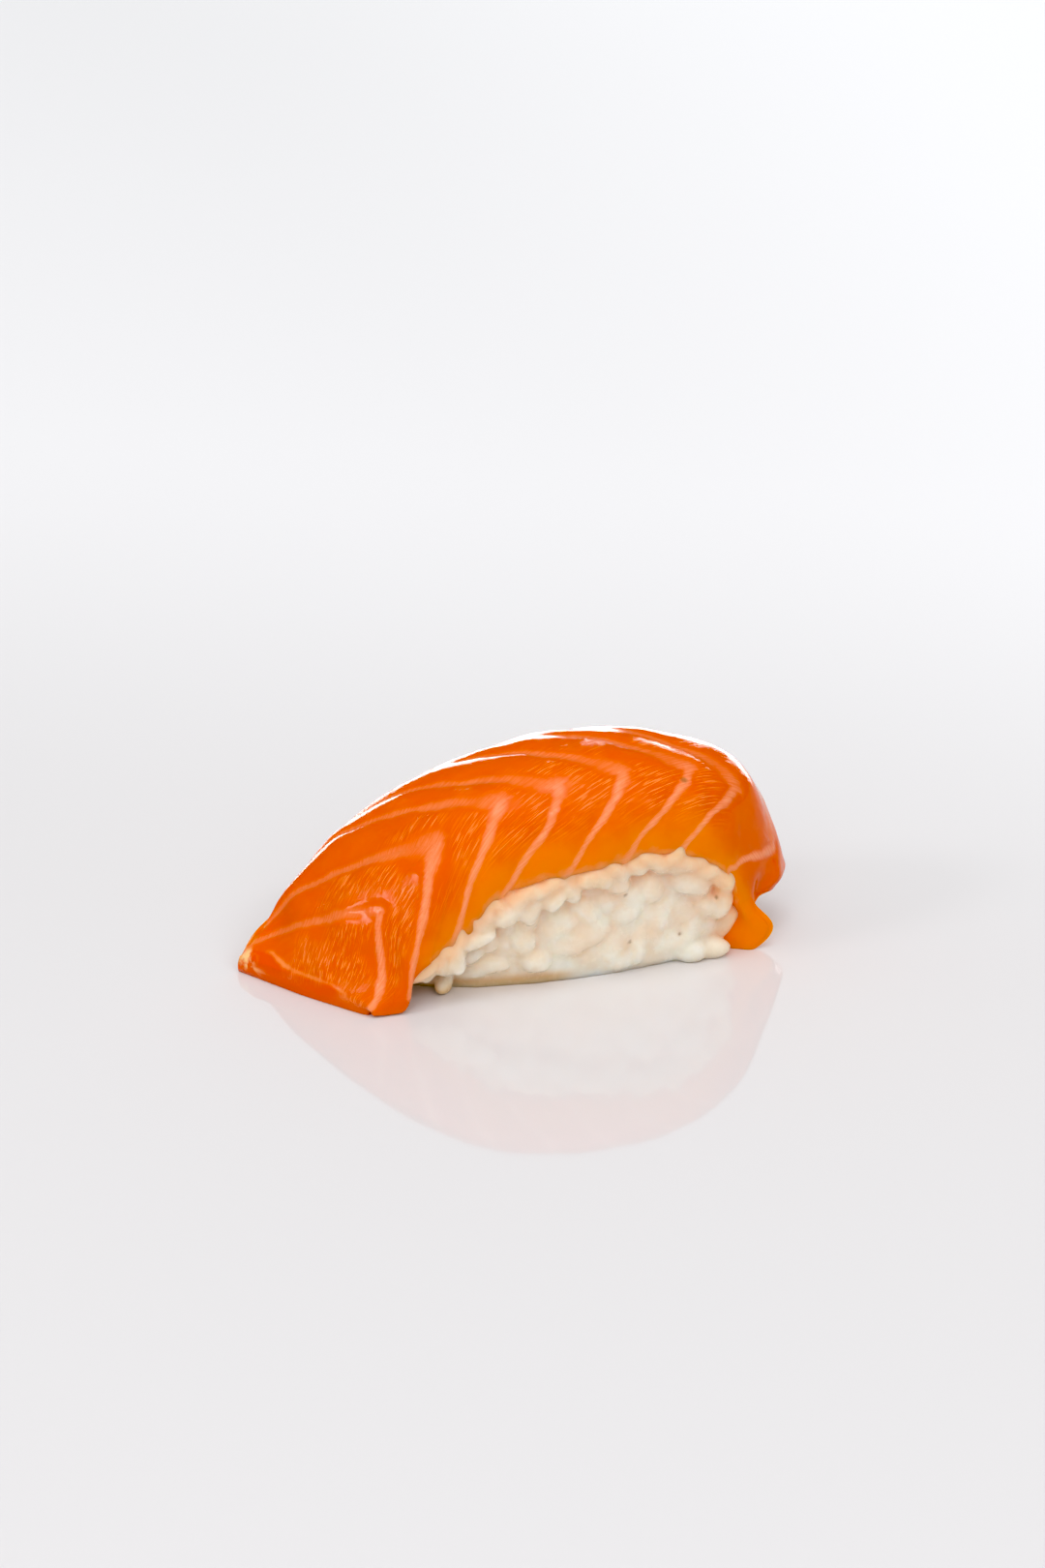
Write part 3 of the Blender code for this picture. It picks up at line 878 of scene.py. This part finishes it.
def salmon_material():
    """Wet raw salmon: streaky orange flesh under pale fat stripes, with a redder cut face. Its pale
    fibre strokes are partly painted highlights, and its front rim has a painted peach glow.
    """
    n = Nodes("salmon_flesh")
    place = n.add("TexCoord").outputs["Object"]
    fibre = n.attribute("fibre_place").outputs["Vector"]
    names = (
        "fat_ratio", "fat_strength", "streaky", "ribbed", "lightness", "cut", "pale_line_and_rim_glow", "cream", "speck",
    )
    value = {name: n.attribute(name).outputs["Fac"] for name in names}
    blotch = n.ramp(n.noise(place, BLOTCHES), *MOST_VALUES, *BLOTCH_LIGHTNESS)
    light = n.ramp(n.math("ADD", value["lightness"], blotch), 0.0, 1.0)
    flesh = n.mix(light, DEEP_ORANGE, LIGHT_ORANGE)
    flesh = n.mix(value["cut"], flesh, CUT_RED)
    fibres = n.noise(fibre, *FIBRE_NOISE)
    # Pale fibre strokes on the streaky flesh, partly painted highlights
    fibre_sheen = n.math("MULTIPLY", n.ramp(fibres, *FIBRE_SHEEN_VALUES), value["streaky"])
    flesh = n.mix(n.math("MULTIPLY", fibre_sheen, FIBRE_SHEEN_SHARE), flesh, PALE_FIBRE_SHEEN)
    ragged = n.ramp(n.noise(place, PEACH_EDGES), *PEACH_EDGE_VALUES, *PEACH_EDGE_SHIFTS)
    # Peach on the pale line above the cut face, and painted glow on the front rim
    flesh = n.mix(n.ramp(n.math("ADD", value["pale_line_and_rim_glow"], ragged), *PEACH_FROM), flesh, PEACH)
    crumbly = n.math("MULTIPLY", value["cream"], n.ramp(n.noise(place, CRUMBS), *CRUMB_VALUES))
    flesh = n.mix(crumbly, flesh, CREAM)
    uneven = n.ramp(n.noise(place, FAT_EDGES), 0.0, 1.0, *FAT_EDGE_SHIFTS)
    edge = n.math("ADD", value["fat_ratio"], uneven)
    fat = n.math("MULTIPLY", n.ramp(edge, *FAT_FROM), value["fat_strength"])
    fat = n.math("MULTIPLY", fat, n.ramp(fibres, *FAT_VALUES, LEAST_FAT, 1.0))
    flesh = n.mix(fat, flesh, FAT)
    ribbed = n.ramp(value["ribbed"], 0.0, 1.0, LEAST_RIDGES, 1.0)
    ridges = n.math("MULTIPLY", n.ramp(fibres, *RIDGE_VALUES), ribbed)
    relief = n.math("ADD", ridges, n.math("MULTIPLY", n.noise(place, PITS, 2.0), PIT_SHARE))
    bump = n.add("Bump", {"Strength": 1.0, "Distance": 0.04 * MM, "Height": relief})
    n.set(
        Base_Color=n.mix(n.math("MULTIPLY", value["speck"], SPECK_SHARE), flesh, SPECK),
        Roughness=n.ramp(n.noise(place, WET_PATCHES), *MOST_VALUES, *SALMON_ROUGHNESS),
        Normal=bump.outputs[0],
        Subsurface_Weight=n.ramp(value["pale_line_and_rim_glow"], 0.0, 0.5, *PEACH_SCATTER),
        Subsurface_Radius=(1.0, 0.30, 0.08),
        Subsurface_Scale=2.2 * MM,
        IOR=1.30,
    )
    return n.material


def rice_material():
    """Cooked rice: moist and translucent, with the slice's orange glow painted on it near the slice and
    a painted shadow at its foot.
    """
    n = Nodes("cooked_rice")
    place = n.add("TexCoord").outputs["Object"]
    slice_glow, foot_shadow, speck = (n.attribute(name).outputs["Fac"] for name in ("slice_glow", "foot_shadow", "speck"))
    grain = n.mix(n.ramp(n.noise(place, RICE_TONES), *RICE_TONE_VALUES), RICE_DAMP, RICE)
    # Painted glow: the slice's orange light on the rice near it
    grain = n.mix(slice_glow, grain, RICE_IN_SLICE_GLOW)
    # Painted shadow along the heap's foot
    grain = n.mix(n.math("MULTIPLY", foot_shadow, FOOT_SHADOW_SHARE), grain, RICE_FOOT_SHADOW)
    bump = n.add("Bump", {"Strength": 0.3, "Distance": 0.1 * MM, "Height": n.noise(place, RICE_PITS)})
    n.set(
        Base_Color=n.mix(n.math("MULTIPLY", speck, SPECK_SHARE), grain, SPECK),
        Roughness=n.ramp(n.noise(place, RICE_WET_PATCHES), *MOST_VALUES, *RICE_ROUGHNESS),
        Normal=bump.outputs[0],
        Subsurface_Weight=0.9,
        Subsurface_Radius=(1.0, 0.85, 0.65),
        Subsurface_Scale=4.5 * MM,
        IOR=1.42,
        Emission_Color=RICE_GLOW,
        Emission_Strength=n.ramp(slice_glow, *RICE_GLOW_TINTS, 0.0, RICE_GLOW_STRENGTH),
    )
    return n.material


def floor_material():
    """A pale glossy floor that glows softly behind and beside the nigiri."""
    n = Nodes("pale_glossy_floor")
    place = n.add("SeparateXYZ", {0: n.add("TexCoord").outputs["Object"]})
    x, y = place.outputs["X"], place.outputs["Y"]
    most_behind, most_beside = FLOOR_GLOW_STRENGTHS
    away = n.math("ADD", y, n.math("MULTIPLY", x, FLOOR_GLOW_SLANT))
    behind = n.ramp(away, 0.0, FLOOR_GLOW_REACH, 0.0, most_behind)
    glow = n.math("ADD", behind, n.ramp(x, *FLOOR_GLOW_BESIDE, 0.0, most_beside))
    n.set(Base_Color=FLOOR, Roughness=0.05, IOR=1.5, Emission_Color=FLOOR_GLOW, Emission_Strength=glow)
    return n.material


# Stage -----------------------------------------------------------------------------------------

CAMERA_AZIMUTH = math.radians(-17)
CAMERA_ELEVATION = math.radians(23)
CAMERA_DISTANCE = 0.65
CAMERA_LENS = 105
LOOK_AT = Vector((0.0031, 0.0093, 0.0218))
FLOOR_SIZE = 8.0
BLACK_LEVEL = (0.012, 0.012, 0.030)  # red, green and blue that come out as none: warmer shadows
WORLD_COLOUR = (0.97, 0.98, 1.0, 1.0)
WORLD_STRENGTH = 0.56
# Softboxes: azimuth and elevation in degrees, distance, width and height, and brightness
SOFTBOXES = {
    "key_softbox": (-25, 60, 1.2, (0.6, 0.6), 1.2),
    "fill_softbox": (-15, 33, 1.6, (1.6, 1.0), 1.5),
    "top_softbox": (10, 84, 1.0, (0.6, 0.45), 2.4),
    "side_softbox": (-82, 32, 1.2, (0.25, 0.20), 12.0),
    "front_softbox": (25, 45, 1.2, (0.8, 0.13), 5.0),
    "rim_panel": (160, 4, 3.0, (4.0, 0.40), 8.0),
    "floor_panel": (163, 30, 3.0, (6.0, 2.6), 0.95),
}


def make_camera():
    """A camera at the photograph's viewing angle."""
    data = bpy.data.cameras.new("camera")
    data.lens = CAMERA_LENS
    data.sensor_width = 36
    camera = new_object("camera", data)
    az, el = CAMERA_AZIMUTH, CAMERA_ELEVATION
    right = Vector((math.cos(az), math.sin(az), 0))
    back = Vector((math.sin(az) * math.cos(el), -math.cos(az) * math.cos(el), math.sin(el)))
    up = back.cross(right)
    turn = Matrix((right, up, back)).transposed().to_4x4()
    camera.matrix_world = Matrix.Translation(LOOK_AT + back * CAMERA_DISTANCE) @ turn
    bpy.context.scene.camera = camera


def add_softbox(name, azimuth, elevation, distance, size, brightness):
    """A softbox that faces the nigiri: its direction in degrees, as seen from the nigiri, from -Y."""
    az, el = math.radians(azimuth), math.radians(elevation)
    away = Vector((math.sin(az) * math.cos(el), -math.cos(az) * math.cos(el), math.sin(el)))
    data = bpy.data.lights.new(name, "AREA")
    data.shape = "RECTANGLE"
    data.size, data.size_y = size
    data.energy = brightness * math.pi * size[0] * size[1]
    light = new_object(name, data)
    turn = away.to_track_quat("Z", "Y").to_matrix().to_4x4()
    light.matrix_world = Matrix.Translation(away * distance) @ turn
    return light


def light_only(light, obj):
    """Makes a light reach one object and no other."""
    reached = bpy.data.collections.new(light.name + "_reach")
    reached.objects.link(obj)
    light.light_linking.receiver_collection = reached


def make_stage():
    """The floor, the world's light and the softboxes."""
    bpy.ops.mesh.primitive_plane_add(size=FLOOR_SIZE)
    floor = bpy.context.object
    floor.name = "floor"
    floor.data.materials.append(floor_material())
    world = bpy.data.worlds.new("studio")
    bpy.context.scene.world = world
    world.use_nodes = True
    background = world.node_tree.nodes["Background"]
    background.inputs["Color"].default_value = WORLD_COLOUR
    background.inputs["Strength"].default_value = WORLD_STRENGTH
    world.cycles_visibility.glossy = False
    lights = {name: add_softbox(name, *values) for name, values in SOFTBOXES.items()}
    lights["key_softbox"].visible_glossy = False
    lights["fill_softbox"].visible_glossy = False
    lights["floor_panel"].visible_diffuse = False
    light_only(lights["floor_panel"], floor)
    view = bpy.context.scene.view_settings
    view.view_transform = "Standard"
    view.use_curve_mapping = True
    view.curve_mapping.black_level = BLACK_LEVEL


def finish_piece(obj, material, node):
    """Gives a piece its material, attaches it to the root body and hides the CAD part it stands for."""
    obj.data.materials.clear()
    obj.data.materials.append(material)
    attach(obj, "root")
    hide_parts(node)


make_camera()
make_stage()
finish_piece(make_slice(), salmon_material(), "salmon_slice")
finish_piece(make_rice(), rice_material(), "rice_bed")
